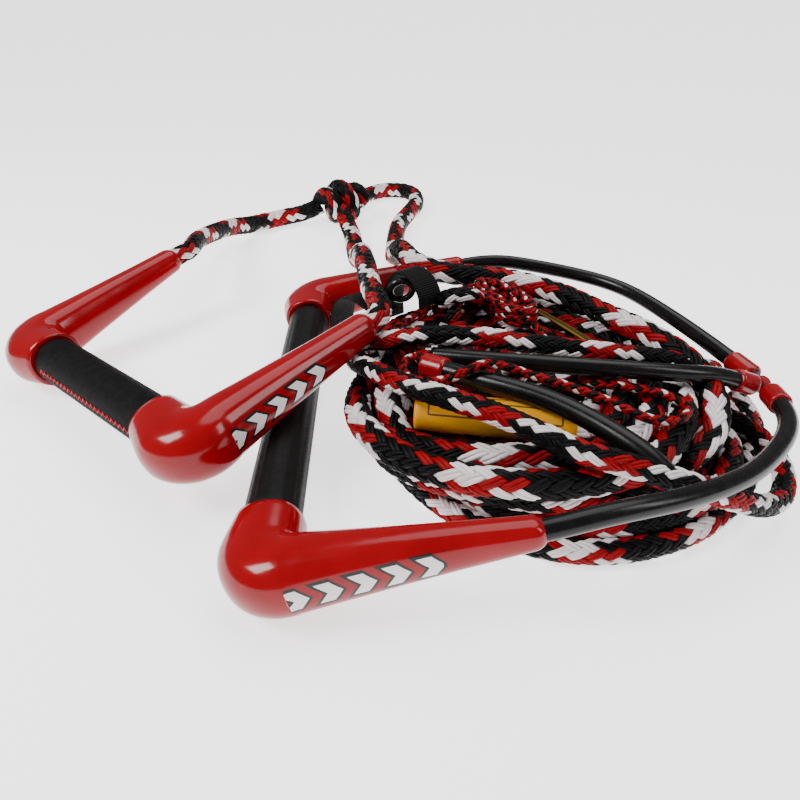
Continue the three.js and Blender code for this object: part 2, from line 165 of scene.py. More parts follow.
def map_range(tree, value, low, high, to_low, to_high):
    made = add_node(tree, "ShaderNodeMapRange")
    tree.links.new(value, made.inputs["Value"])
    for key, number in (("From Min", low), ("From Max", high), ("To Min", to_low), ("To Max", to_high)):
        made.inputs[key].default_value = number
    return made.outputs["Result"]


def bump_node(tree, height, strength, distance):
    made = add_node(tree, "ShaderNodeBump")
    made.inputs["Strength"].default_value = strength
    made.inputs["Distance"].default_value = distance
    tree.links.new(height, made.inputs["Height"])
    return made.outputs["Normal"]


def read_attribute(tree, name):
    return add_node(tree, "ShaderNodeAttribute", attribute_name=name)


def object_place(tree):
    return add_node(tree, "ShaderNodeTexCoord").outputs["Object"]


# Braided yarn: the colour comes with each strand; fine filaments run along it.
def braid_material(name, gloss, filament):
    material, tree, shader = new_material(name)
    tint = read_attribute(tree, "tint").outputs["Color"]
    yarn = read_attribute(tree, "yarn").outputs["Vector"]
    streaks = noise_node(tree, stretch(tree, yarn, (0.05, filament, 1.0)), 1.0, 2.5, 0.7)
    blotches = noise_node(tree, stretch(tree, yarn, (0.09, 0.12, 1.0)), 1.0, 2.0)
    shade = times(tree, map_range(tree, streaks, 0.3, 0.7, 0.62, 1.22),
                  map_range(tree, blotches, 0.3, 0.7, 0.86, 1.1))
    tree.links.new(scale_colour(tree, tint, shade), shader.inputs["Base Color"])
    tree.links.new(map_range(tree, streaks, 0.3, 0.7, gloss + 0.14, gloss), shader.inputs["Roughness"])
    tree.links.new(bump_node(tree, streaks, 0.55, 0.0004), shader.inputs["Normal"])
    shader.inputs["Specular IOR Level"].default_value = 0.12
    return material


# Moulded red cover: glossy, slightly wavy, with plain chevrons on its outer side.
CHEVRON_PITCH = 15.0
CHEVRON_HALF_HEIGHT = 5.6
CHEVRON_FROM = 7.0
CHEVRON_TO = 84.0
CHEVRON_START, CHEVRON_STOP = 0.20, 0.66  # white part of each pitch
CHEVRON_EDGE = 1.7


def cover_material(name, chevrons):
    material, tree, shader = new_material(name)
    place = object_place(tree)
    depth = noise_node(tree, place, 38, 3)
    red = mix_colour(tree, map_range(tree, depth, 0.3, 0.7, 0, 1), (0.23, 0.0, 0.003), (0.28, 0.0, 0.004))
    colour = red
    if chevrons:
        skin = add_node(tree, "ShaderNodeSeparateXYZ")
        tree.links.new(read_attribute(tree, "skin").outputs["Vector"], skin.inputs[0])
        along, up = skin.outputs[0], skin.outputs[1]
        side_way = skin.outputs[2]
        leaning = math_node(tree, "ADD", along, times(tree, math_node(tree, "ABSOLUTE", up), 0.9))
        cycle = math_node(tree, "FRACT", math_node(tree, "DIVIDE", leaning, CHEVRON_PITCH))

        def band(extra):
            margin = extra / CHEVRON_PITCH
            inside = between(tree, cycle, CHEVRON_START - margin, CHEVRON_STOP + margin)
            tall = below(tree, math_node(tree, "ABSOLUTE", up), CHEVRON_HALF_HEIGHT + extra)
            length = between(tree, along, CHEVRON_FROM - extra, CHEVRON_TO + extra)
            outer = above(tree, side_way, 0.0)
            return times(tree, times(tree, inside, tall), times(tree, length, outer))

        dark = mix_colour(tree, band(CHEVRON_EDGE), red, (0.012, 0.010, 0.010))
        colour = mix_colour(tree, band(0.0), dark, (0.80, 0.76, 0.75))
    tree.links.new(colour, shader.inputs["Base Color"])
    smear = noise_node(tree, place, 90, 4)
    tree.links.new(map_range(tree, smear, 0.3, 0.75, 0.11, 0.2), shader.inputs["Roughness"])
    tree.links.new(bump_node(tree, noise_node(tree, place, 55, 2), 0.10, 0.0012), shader.inputs["Normal"])
    shader.inputs["Specular IOR Level"].default_value = 0.3
    return material


# Plain surface with a little variation: colour pair, roughness pair, grain size and depth.
def surface_material(name, dark, light, rough, grain, depth, scale=60, shine=0.3, metal=0.0, relief=0.35):
    material, tree, shader = new_material(name)
    place = object_place(tree)
    cloudy = noise_node(tree, place, scale, 4)
    fine = noise_node(tree, place, grain, 3)
    colour = mix_colour(tree, map_range(tree, cloudy, 0.3, 0.7, 0, 1), dark, light)
    tree.links.new(colour, shader.inputs["Base Color"])
    tree.links.new(map_range(tree, fine, 0.3, 0.7, rough[0], rough[1]), shader.inputs["Roughness"])
    tree.links.new(bump_node(tree, fine, relief, depth), shader.inputs["Normal"])
    shader.inputs["Metallic"].default_value = metal
    shader.inputs["Specular IOR Level"].default_value = shine
    return material


TAPE_EDGE = 1.7


# Woven strap: ribs across it, from the strap's own length in millimetres.
def webbing_material(name, dark, light, rib, depth, edge=None):
    material, tree, shader = new_material(name)
    run = add_node(tree, "ShaderNodeSeparateXYZ")
    tree.links.new(read_attribute(tree, "yarn").outputs["Vector"], run.inputs[0])
    along, across = run.outputs[0], run.outputs[1]
    wave = math_node(tree, "SINE", times(tree, along, TAU / rib))
    weave = math_node(tree, "SINE", times(tree, across, TAU / (rib * 0.9)))
    height = math_node(tree, "ADD", wave, times(tree, weave, 0.35))
    fuzz = noise_node(tree, object_place(tree), 900, 3)
    shade = map_range(tree, math_node(tree, "ADD", height, times(tree, fuzz, 1.2)), -0.9, 2.0, 0, 1)
    colour = mix_colour(tree, shade, dark, light)
    if edge is not None:
        near_edge = above(tree, math_node(tree, "ABSOLUTE", across), TAPE_EDGE)
        colour = mix_colour(tree, near_edge, colour, edge)
    tree.links.new(colour, shader.inputs["Base Color"])
    tree.links.new(map_range(tree, fuzz, 0.3, 0.7, 0.55, 0.8), shader.inputs["Roughness"])
    tree.links.new(bump_node(tree, height, 0.8, depth), shader.inputs["Normal"])
    shader.inputs["Specular IOR Level"].default_value = 0.15
    return material


# Yellow tag: printed with plain frame lines only, and lightly scuffed.
TAG_LENGTH = 88.0
TAG_LINE = 0.55
TAG_RADIUS = 11
TAG_INNER_RADIUS = 9.4


def tag_material():
    material, tree, shader = new_material("tag_yellow")
    run = add_node(tree, "ShaderNodeSeparateXYZ")
    tree.links.new(read_attribute(tree, "yarn").outputs["Vector"], run.inputs[0])
    along, around = run.outputs[0], run.outputs[1]
    place = object_place(tree)
    cloudy = noise_node(tree, place, 45, 4)
    yellow = mix_colour(tree, map_range(tree, cloudy, 0.3, 0.7, 0, 1), (0.90, 0.38, 0.0), (0.96, 0.45, 0.0))

    def near_value(value, target, width):
        apart = math_node(tree, "SUBTRACT", value, target)
        return below(tree, math_node(tree, "ABSOLUTE", apart), width)

    marks = None
    left, right, bottom, top, middle = 8.0, 80.0, 5.0, 19.0, 14.2
    lines = [(along, at, around, bottom, top) for at in (left, right)]
    lines += [(around, at, along, left, right) for at in (bottom, top, middle)]
    for value, at, other, low, high in lines:
        part = times(tree, near_value(value, at, TAG_LINE), between(tree, other, low, high))
        marks = part if marks is None else math_node(tree, "MAXIMUM", marks, part)
    colour = mix_colour(tree, times(tree, marks, 0.85), yellow, (0.03, 0.02, 0.012))
    tree.links.new(colour, shader.inputs["Base Color"])
    scuff = noise_node(tree, place, 260, 4)
    tree.links.new(map_range(tree, scuff, 0.3, 0.7, 0.32, 0.5), shader.inputs["Roughness"])
    tree.links.new(bump_node(tree, scuff, 0.15, 0.0003), shader.inputs["Normal"])
    return material


rope_material = braid_material("rope_braid", 0.36, 7.0)
line_material = braid_material("line_braid", 0.40, 3.0)
cover_plain = cover_material("cover_red", False)
cover_marked = cover_material("cover_red_chevrons", True)
hose_material = surface_material("hose_black", (0.0025, 0.0022, 0.0024), (0.006, 0.005, 0.005), (0.2, 0.3),
                                 160, 0.0001, 80, shine=0.24, relief=0.1)
sleeve_material = surface_material("sleeve_red", (0.23, 0.0, 0.003), (0.30, 0.0, 0.004), (0.16, 0.28),
                                   200, 0.0002, 120, shine=0.4, relief=0.12)
grip_rubber = surface_material("grip_rubber", (0.0025, 0.0025, 0.0025), (0.006, 0.0055, 0.0055),
                               (0.42, 0.58), 700, 0.0005, 120, shine=0.12)
grip_neoprene = surface_material("grip_neoprene", (0.003, 0.003, 0.0033), (0.008, 0.0075, 0.0075),
                                 (0.6, 0.8), 1500, 0.0006, 200, shine=0.06)
stitch_material = surface_material("stitch_red", (0.35, 0.002, 0.006), (0.55, 0.01, 0.02), (0.5, 0.7),
                                   2500, 0.0003)
ring_material = surface_material("ring_black", (0.006, 0.006, 0.006), (0.014, 0.013, 0.013), (0.12, 0.24),
                                 300, 0.0001, 150, shine=0.5, relief=0.1)
band_material = webbing_material("band_webbing", (0.0015, 0.0015, 0.0015), (0.010, 0.0095, 0.009),
                                  1.5, 0.0006)
tail_material = webbing_material("tail_webbing", (0.0015, 0.0015, 0.0015), (0.009, 0.0085, 0.008),
                                  1.9, 0.0004)
tape_material = webbing_material("tape_olive", (0.020, 0.016, 0.003), (0.075, 0.055, 0.008), 1.1, 0.0003,
                                 edge=(0.26, 0.14, 0.012))
metal_material = surface_material("bar_aluminium", (0.5, 0.5, 0.52), (0.62, 0.62, 0.64), (0.25, 0.4),
                                  600, 0.0001, metal=1.0)
foam_material = surface_material("float_foam", (0.72, 0.68, 0.58), (0.82, 0.79, 0.7), (0.8, 0.95),
                                 900, 0.0008)
plug_material = surface_material("plug_black", (0.01, 0.01, 0.01), (0.02, 0.02, 0.02), (0.5, 0.65),
                                 500, 0.0003)
core_material = surface_material("bridle_cord", (0.22, 0.005, 0.01), (0.34, 0.02, 0.03), (0.7, 0.85),
                                 1800, 0.0006)


# ---------- curves ----------
def route(points, step):
    """A smooth curve through the points, as metres, with a point about every step millimetres."""
    p = np.array(points, float) * MM
    p = np.vstack([2 * p[0] - p[1], p, 2 * p[-1] - p[-2]])
    samples = [p[1][None, :]]
    for a, b, c, d in zip(p[:-3], p[1:-2], p[2:-1], p[3:]):
        t1 = max(np.linalg.norm(b - a), 1e-6) ** 0.5
        t2 = t1 + max(np.linalg.norm(c - b), 1e-6) ** 0.5
        t3 = t2 + max(np.linalg.norm(d - c), 1e-6) ** 0.5
        t = np.linspace(t1, t2, 25)[1:, None]
        ab = (t1 - t) / t1 * a + t / t1 * b
        bc = (t2 - t) / (t2 - t1) * b + (t - t1) / (t2 - t1) * c
        cd = (t3 - t) / (t3 - t2) * c + (t - t2) / (t3 - t2) * d
        abc = (t2 - t) / t2 * ab + t / t2 * bc
        bcd = (t3 - t) / (t3 - t1) * bc + (t - t1) / (t3 - t1) * cd
        samples.append((t2 - t) / (t2 - t1) * abc + (t - t1) / (t2 - t1) * bcd)
    return resample(np.vstack(samples), step * MM)


def arc_lengths(p):
    return np.concatenate([[0], np.cumsum(np.linalg.norm(np.diff(p, axis=0), axis=1))])


def resample(p, step):
    s = arc_lengths(p)
    count = max(int(round(s[-1] / step)), 4)
    at = np.linspace(0, s[-1], count + 1)
    return np.stack([np.interp(at, s, p[:, i]) for i in range(3)], axis=1)


def soften(p, rounds):
    p = p.copy()
    for _ in range(rounds):
        p[1:-1] = 0.5 * p[1:-1] + 0.25 * (p[:-2] + p[2:])
    return p


def unit(v):
    return v / np.maximum(np.linalg.norm(v, axis=-1, keepdims=True), 1e-12)


def frames(p):
    """Tangent and two crosswise directions at each point, carried along without twist."""
    tangent = unit(np.gradient(p, axis=0))
    normal = np.zeros_like(p)
    first = np.array([0, 0, 1.0]) if abs(tangent[0][2]) < 0.9 else np.array([1.0, 0, 0])
    normal[0] = unit(first - tangent[0] * first.dot(tangent[0]))
    for i in range(1, len(p)):
        n = normal[i - 1] - tangent[i] * normal[i - 1].dot(tangent[i])
        normal[i] = n / np.linalg.norm(n)
    return tangent, normal, np.cross(tangent, normal)


# ---------- meshes ----------
class Strips:
    """Closed strips of rings that become one mesh."""

    def __init__(self):
        self.points, self.quads, self.yarn, self.tint = [], [], [], []
        self.count = 0

    def add(self, rings, yarn, tint):
        n, m = rings.shape[:2]
        row = np.arange(n - 1)[:, None] * m
        i = np.arange(m)[None, :]
        j = (i + 1) % m
        quads = np.stack([row + i, row + j, row + m + j, row + m + i], axis=-1).reshape(-1, 4)
        self.points.append(rings.reshape(-1, 3))
        self.quads.append(quads + self.count)
        self.yarn.append(yarn.reshape(-1, 3))
        self.tint.append(np.tile(np.array([*tint, 1.0]), (n * m, 1)))
        self.count += n * m


def strips_piece(name, strips, material):
    points = np.vstack(strips.points).astype(np.float32)
    quads = np.vstack(strips.quads).astype(np.int32)
    mesh = bpy.data.meshes.new(name)
    mesh.vertices.add(len(points))
    mesh.vertices.foreach_set("co", points.ravel())
    mesh.loops.add(quads.size)
    mesh.loops.foreach_set("vertex_index", quads.ravel())
    mesh.polygons.add(len(quads))
    mesh.polygons.foreach_set("loop_start", np.arange(0, quads.size, 4, dtype=np.int32))
    mesh.update(calc_edges=True)
    mesh.validate()
    mesh.shade_smooth()
    yarn = mesh.attributes.new("yarn", "FLOAT_VECTOR", "POINT")
    yarn.data.foreach_set("vector", np.vstack(strips.yarn).astype(np.float32).ravel())
    tint = mesh.attributes.new("tint", "FLOAT_COLOR", "POINT")
    tint.data.foreach_set("color", np.vstack(strips.tint).astype(np.float32).ravel())
    mesh.materials.append(material)
    made = bpy.data.objects.new(name, mesh)
    bpy.context.scene.collection.objects.link(made)
    return made


def close_ends(rings, centres):
    """Adds a small last ring at both ends, so that the tube is shut."""
    shut = 0.02
    first = centres[0] + (rings[0] - centres[0]) * shut
    last = centres[-1] + (rings[-1] - centres[-1]) * shut
    return np.concatenate([first[None], rings, last[None]])


def add_tube(strips, p, radius, sides, tint):
    """A round tube; radius is one number or one for each point."""
    tangent, normal, binormal = frames(p)
    angle = np.linspace(0, TAU, sides, endpoint=False)
    radius = np.broadcast_to(np.asarray(radius, float), (len(p),))
    rings = (p[:, None, :] + radius[:, None, None] * (np.cos(angle)[None, :, None] * normal[:, None, :]
                                                      + np.sin(angle)[None, :, None] * binormal[:, None, :]))
    s = arc_lengths(p) / MM
    s = np.concatenate([[s[0]], s, [s[-1]]])
    rings = close_ends(rings, p)
    yarn = np.zeros(rings.shape)
    yarn[..., 0] = s[:, None]
    yarn[..., 1] = (angle * radius.max() / MM)[None, :]
    strips.add(rings, yarn, tint)


# A strand's middle, swing in and out, and half thickness, and the dark tube inside the strands, as shares of
# the rope's diameter. The dark tube is painted shade: it stands for the shaded hollow inside the braid, seen
# through the gaps between strands.
STRAND_RADIUS, STRAND_SWING, STRAND_HALF_THICK, SHADE_TUBE_SHARE = 0.395, 0.048, 0.056, 0.29
SHADE_TUBE_TINT = (0.01, 0.008, 0.008)


def add_plait(strips, p, diameter, pitch, tints, yarns, first=0, last=None, sides=6):
    """Strands over two and under two round the centreline p; diameter is one value or one a point."""
    size = np.broadcast_to(np.asarray(diameter, float) * MM, (len(p),))
    tangent, normal, binormal = frames(p)
    s = arc_lengths(p)
    turn = TAU * s / (pitch * MM)
    count = len(tints[0])
    middle, swing, half_thick = size * STRAND_RADIUS, size * STRAND_SWING, size * STRAND_HALF_THICK
    spread = TAU * middle / count * 0.9 / yarns
    slant = np.arctan(TAU * middle / (pitch * MM))
    along_share, round_share = np.sin(slant), np.cos(slant)
    wide = spread * 0.62
    cut = slice(first, last)
    angle = np.linspace(0, TAU, sides, endpoint=False)
    for way, colours in zip((1, -1), tints):
        for k, tint in enumerate(colours):
            crossing = turn * count / math.pi
            phase = crossing + 2 * k if way == 1 else 2 * k - crossing
            wave = np.tanh(1.6 * way * np.cos(math.pi / 2 * phase - math.pi / 4)) / math.tanh(1.6)
            r = middle + swing * wave
            around = TAU * k / count + way * turn
            for y in range(yarns):
                offset = (y - (yarns - 1) / 2) * spread * (0.88 + 0.12 * wave)
                lift = -np.abs(y - (yarns - 1) / 2) * size * 0.012
                turned = around + offset * round_share / r
                outwards = np.cos(turned)[:, None] * normal + np.sin(turned)[:, None] * binormal
                round_way = -np.sin(turned)[:, None] * normal + np.cos(turned)[:, None] * binormal
                across = round_way * round_share[:, None] - tangent * way * along_share[:, None]
                centre = p - tangent * (way * along_share * offset)[:, None] + outwards * (r + lift)[:, None]
                rings = (centre[:, None, :]
                         + np.cos(angle)[None, :, None] * outwards[:, None, :] * half_thick[:, None, None]
                         + np.sin(angle)[None, :, None] * across[:, None, :] * wide[:, None, None])[cut]
                rings = close_ends(rings, centre[cut])
                at = s[cut] / MM
                at = np.concatenate([[at[0]], at, [at[-1]]])
                yarn = np.zeros(rings.shape)
                yarn[..., 0] = at[:, None]
                yarn[..., 1] = (np.sin(angle) + 2.3 * y)[None, :]
                yarn[..., 2] = 7.31 * k + 3.7 * y + 50 * (way + 1)
                strips.add(rings, yarn, tint)
    # Near-black tube along the middle: painted shade for the hollow inside the braid, seen between the
    # strands.
    core = p[cut]
    add_tube(strips, core[::3] if len(core) > 12 else core, size.min() * SHADE_TUBE_SHARE, 8, SHADE_TUBE_TINT)


ROPE_TINTS = ((WHITE, WHITE, RED, RED, BLACK, BLACK, BLACK, BLACK),
              (WHITE, WHITE, RED, RED, BLACK, BLACK, BLACK, BLACK))
KNOT_TINTS = ((BLACK, WHITE, RED, RED, BLACK, BLACK, BLACK, BLACK),
              (BLACK, BLACK, RED, RED, BLACK, BLACK, BLACK, BLACK))
LINE_TINTS = ((BLACK, RED, WHITE, RED, BLACK, RED), (RED, RED, BLACK, RED, RED, BLACK))
STEPS_A_TURN = 30
ROPE_STEP = ROPE_PITCH / STEPS_A_TURN
RUN_STEP = ROPE_STEP * RUN_D / ROPE_D
COIL_STEP = ROPE_STEP * COIL_D / ROPE_D
LINE_STEP = 1.0


def rope_piece(name, p, nodes=(), diameter=ROPE_D, first=0, last=None, body="root", tints=ROPE_TINTS):
    strips = Strips()
    pitch = ROPE_PITCH * np.mean(diameter) / ROPE_D
    add_plait(strips, p, diameter, pitch, tints, 2, first, last, sides=5)
    made = strips_piece(name, strips, rope_material)
    return settle(made, nodes, body)


def line_piece(name, p, nodes=()):
    strips = Strips()
    add_plait(strips, p, LINE_D, LINE_PITCH, LINE_TINTS, 1, sides=4)
    made = strips_piece(name, strips, line_material)
    return settle(made, nodes, "root")


def settle(made, nodes, body):
    if nodes:
        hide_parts(*nodes)
    if body:
        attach(made, body)
    return made


def path_length(p):
    return float(arc_lengths(p)[-1])


# ---------- free runs of the surf rope ----------
near_leg_points = [
    [-119, 0, 67.4], [-111.6, 7.1, 69.9], [-108.8, 16, 69.5], [-109.5, 31, 68.8],
    [-115, 58, 66.5], [-119, 90, 63],
    [-122, 120, 60], [-126, 146, 58], [-129, 175, 51], [-133, 215, 32], [-138, 260, 14], [-143, 300, 8.8],
    [-149, 345, 8.8], [-156, 375, 12], [-163, 396, 21],
]
far_leg_points = [
    [-285.5, 153.1, 52.4], [-279.3, 161.3, 54.7], [-275, 172, 54.5], [-275.8, 190, 53], [-279, 212, 49],
    [-281, 240, 43], [-281, 280, 34], [-276, 326, 24], [-265, 364, 14], [-250, 389, 10.5], [-230, 405, 10.5],
    [-211, 411, 13], [-190, 417, 20],
]
lead_points = [
    [-158, 440, 20], [-150, 461, 12], [-138, 500, 8.8], [-116, 520, 8.8], [-92, 518, 8.8], [-78, 497, 8.8],
    [-76, 461, 8.8], [-86, 420, 8.8], [-97, 379, 8.8], [-101, 330, 8.8], [-102, 280, 12], [-101, 235, 26],
    [-99, 195, 44], [-96, 170, 56], [-92, 147, 61], [-84, 124, 62], [-66, 109, 61], [-42, 104, 59.5],
    [-20, 99, 59], [14, 76, 59], [41, 38, 59], [62, 8, 59], [79, -18, 54], [86, -44, 45], [78, -68, 36],
    [58, -84, 28],
]
front_run_points = [
    [84, -22, 24], [106, -26, 20], [122, -42, 15], [126, -64, 10], [117, -86, 9], [98, -104, 16],
    [70, -118, 32],
    [38, -123, 48], [2, -117, 57], [-10, -111, 57.2], [-23, -102, 59], [-48, -88, 63.5], [-72, -75, 64.8],
    [-92, -60, 63], [-106, -42, 59], [-117, -22, 53], [-124, 0, 44], [-124, 24, 34],
]
middle_run_points = [
    [-118, 46, 32], [-124, 26, 43], [-118, 13, 52], [-104, 1, 58.5], [-78, -3, 64], [-50, -8, 66],
    [-24, -14, 65], [5, -18, 63], [35, -19, 60], [62, -21, 57.2], [86, -18, 50], [102, -4, 40],
    [106, 16, 30],
]


def swell(p, thin, thick):
    """Diameters along p from thin to thick, and p lifted so that the rope stays on the floor."""
    share = arc_lengths(p) / path_length(p)
    share = np.clip(share * 1.3, 0, 1)
    diameters = thin + (thick - thin) * share * share * (3 - 2 * share)
    lifted = p.copy()
    lifted[:, 2] = np.maximum(p[:, 2], diameters / 2 * MM)
    return lifted, diameters


near_leg = route(near_leg_points, ROPE_STEP)
far_leg = route(far_leg_points, ROPE_STEP)
lead = route(lead_points, ROPE_STEP)
front_run = route(front_run_points, RUN_STEP)
middle_run = route(middle_run_points, RUN_STEP)

# ---------- the coil ----------
TAG_FROM = np.array([-87.0, -57.0, 44.5])
TAG_TO = np.array([0.0, -71.0, 44.5])
HALF_ROPE = ROPE_D / 2
HALF_COIL = COIL_D / 2
TOP_HEIGHT = 42.3
TOP_RADII = (104, 87, 70, 48, 30)
# Lower layers: centre, height, radii of the turns.
LOW_LAYERS = (
    ((-8, -8), 29.8, (58, 75, 91, 106)),
    ((3, -4), 18.4, (113, 98, 83, 58)),
    ((9, -2), HALF_COIL, (48, 66, 90, 104, 118)),
)
GUESS_STEP = 9.0


def wind(centre, drift, height, radii, wobble_size, rng, start):
    """Uneven turns of rope round a centre; the last quarter of each moves to the next radius."""
    steps = 60
    points = []
    for turn_index, radius in enumerate(radii):
        following = radii[min(turn_index + 1, len(radii) - 1)]
        phase = rng.uniform(0, TAU, 4)
        share = turn_index / (len(radii) - 1)
        for k in range(steps):
            t = k / steps
            here = start + TAU * t
            ease = max(0.0, (t - 0.75) / 0.25)
            r = radius + (following - radius) * ease ** 2 * (3 - 2 * ease)
            r += wobble_size * (math.sin(2 * here + phase[0]) + 0.7 * math.sin(3 * here + phase[1])
                                + 0.4 * math.sin(5 * here + phase[2]))
            lift = 1.6 * math.sin(2 * here + phase[3])
            points.append([centre[0] + drift[0] * share + r * math.cos(here),
                           centre[1] + drift[1] * share + r * math.sin(here), height + lift])
    return points


def coil_guess():
    """Centrelines of the two wound stretches before they settle: the thick top and the thinner rest."""
    rng = np.random.default_rng(11)
    top = wind((-20, -13), (12, 15), TOP_HEIGHT, TOP_RADII, 1.6, rng, 0.35)
    low = []
    for centre, height, radii in LOW_LAYERS:
        low += wind(centre, (0, 0), height, radii, 2.6, rng, 0.35)
    return resample(np.array(top), GUESS_STEP), resample(soften(np.array(low), 6), GUESS_STEP)


SETTLE_ROUNDS = 80
PUSH_APART, PUSH_FROM_RUNS, PUSH_FROM_TAG = 0.22, 0.3, 0.6
CONTACT = 0.97  # share of the sum of two radii at which ropes touch
TAG_ROOM = 10.6
LONGEST_MOVE = 1.6
SINK = 0.1
NEIGHBOURS = 4
OTHER_ROPE = 10000  # step in the numbering between the two stretches


def settle_coil():
    """Pushes crossing turns apart and lets the pile down, with the loose runs as fixed neighbours."""
    top, low = coil_guess()
    guess = np.vstack([top, low])
    thick = np.concatenate([np.full(len(top), float(ROPE_D)), np.full(len(low), float(COIL_D))])
    index = np.concatenate([np.arange(len(top)), np.arange(len(low)) + OTHER_ROPE])
    axis = TAG_TO - TAG_FROM
    tag_length = np.linalg.norm(axis)
    axis = axis / tag_length
    p = guess.copy()
    along = (p - TAG_FROM) @ axis
    off_line = np.linalg.norm(p - TAG_FROM - along[:, None] * axis, axis=1)
    run = arc_lengths(top)
    third_from = (TOP_RADII[0] + TOP_RADII[1]) * TAU - 60
    third_to = third_from + TOP_RADII[2] * TAU + 60
    third = np.zeros(len(p), bool)
    third[:len(top)] = (run > third_from) & (run < third_to)
    held = third & (along > -2) & (along < tag_length + 2) & (off_line < 30) & (p[:, 1] < -40)
    p[held] = TAG_FROM + along[held][:, None] * axis
    guess[held] = p[held]
    fixed, fixed_size = [], []
    for q, size in ((lead[-80:], ROPE_D), (front_run, RUN_D), (middle_run, RUN_D)):
        fixed.append(q[::3] / MM)
        fixed_size.append(np.full(len(q[::3]), float(size)))
    fixed, fixed_size = np.vstack(fixed), np.concatenate(fixed_size)
    apart = np.abs(index[:, None] - index[None, :]) > NEIGHBOURS
    least = (thick[:, None] + thick[None, :]) / 2 * CONTACT
    least_fixed = (thick[:, None] + fixed_size[None, :]) / 2 * CONTACT
    for _ in range(SETTLE_ROUNDS):
        difference = p[:, None, :] - p[None, :, :]
        distance = np.linalg.norm(difference, axis=2) + 1e-6
        push = np.where((distance < least) & apart, (least - distance) / distance, 0)
        move = (push[:, :, None] * difference).sum(axis=1) * PUSH_APART
        difference = p[:, None, :] - fixed[None, :, :]
        distance = np.linalg.norm(difference, axis=2) + 1e-6
        push = np.where(distance < least_fixed, (least_fixed - distance) / distance, 0)
        move += (push[:, :, None] * difference).sum(axis=1) * PUSH_FROM_RUNS
        tag_along = (p - TAG_FROM) @ axis
        radial = p - TAG_FROM - tag_along[:, None] * axis
        gap = np.linalg.norm(radial, axis=1) + 1e-6
        room = TAG_ROOM + thick / 2
        in_tag = (~held) & (tag_along > -HALF_ROPE) & (tag_along < tag_length + HALF_ROPE) & (gap < room)
        move += np.where(in_tag, (room - gap) / gap, 0)[:, None] * radial * PUSH_FROM_TAG
        size = np.linalg.norm(move, axis=1, keepdims=True) + 1e-9
        move *= np.minimum(1, LONGEST_MOVE / size)
        p = p + move
        p[:, 2] -= SINK
        drift = p - guess
        for part in (slice(0, len(top)), slice(len(top), len(p))):
            d = drift[part]
            d[1:-1] = 0.6 * d[1:-1] + 0.2 * (d[:-2] + d[2:])
        p = guess + drift
        p[held] = guess[held]
        p[:, 2] = np.clip(p[:, 2], thick / 2, TOP_HEIGHT + 0.6)
    return p[:len(top)], p[len(top):]


top_guess, low_guess = settle_coil()
top_coil = route(top_guess[::2], ROPE_STEP)
low_coil = route(low_guess[::2], COIL_STEP)


def in_pieces(p, count):
    edges = np.linspace(0, len(p) - 1, count + 1).astype(int)
    return list(zip(edges[:-1], edges[1:]))


for label, p, diameter, nodes in (
    ("top", top_coil, ROPE_D, [("surf_coil_top", "tagged_rope_run"), ()]),
    ("low", low_coil, COIL_D, [("surf_coil_low",), (), (), (), (), ()]),
):
    for number, ((first, last), stands_for) in enumerate(zip(in_pieces(p, len(nodes)), nodes)):
        made = rope_piece(f"surf_rope_{label}_{number + 1}", p, stands_for, diameter, first, last + 1)

# ---------- knot, lead and legs ----------
KNOT = np.array([-165.0, 420.0, 24.0])
KNOT_ROPE_D = 19.5
ARM_ROPE_D = 15.5
KNOT_WRAPS = 2.5
KNOT_SPAN = 48


def knot_path():
    """A fist knot: the rope wraps round two and a half times, between its two ends."""
    points = []
    steps = 66
    for k in range(steps + 1):
        t = k / steps
        angle = KNOT_WRAPS * TAU * t
        fullness = math.sin(math.pi * (0.12 + 0.76 * t))
        x = (t - 0.5) * KNOT_SPAN
        y = (15.5 * fullness + 3) * math.cos(angle)
        z = (14.0 * fullness + 2) * math.sin(angle)
        points.append([x, y, z])
    turned = []
    heading = 0.5
    for x, y, z in points:
        turned.append([KNOT[0] + x * math.cos(heading) - y * math.sin(heading),
                       KNOT[1] + x * math.sin(heading) + y * math.cos(heading),
                       max(KNOT[2] + z, KNOT_ROPE_D / 2)])
    return turned


knot = rope_piece("surf_rope_knot", route(knot_path(), ROPE_STEP), ("surf_knot",), KNOT_ROPE_D,
                  tints=KNOT_TINTS)

lead, lead_diameters = swell(lead[::-1], RUN_D + 3, KNOT_ROPE_D)
lead, lead_diameters = lead[::-1], lead_diameters[::-1]
lead_piece = rope_piece("surf_rope_lead", lead, ("surf_lead",), lead_diameters)
front_piece = rope_piece("surf_rope_front_run", front_run, ("surf_run_front",), RUN_D)
middle_piece = rope_piece("surf_rope_middle_run", middle_run, ("surf_run_middle",), RUN_D)
for name, p, node in (
    ("surf_rope_near_leg", near_leg, "surf_near_leg"),
    ("surf_rope_far_leg", far_leg, "surf_far_leg"),
):
    p, diameters = swell(p, ARM_ROPE_D, KNOT_ROPE_D)
    leg = rope_piece(name, p, (node,), diameters, body=None)
    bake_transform(leg)

# The small bight of rope that stands up beside the keeper band.
eye_points = [
    [-66, 73, 44], [-68, 66, 52], [-66, 57, 61], [-59, 50, 67], [-50, 48, 68], [-44, 53, 64], [-43, 61, 57],
    [-46, 68, 50], [-50, 74, 43],
]
EYE_D = 12
eye = route(eye_points, ROPE_STEP * EYE_D / ROPE_D)
eye_piece = rope_piece("surf_rope_bight", eye, ("surf_rope_eye",), diameter=EYE_D)

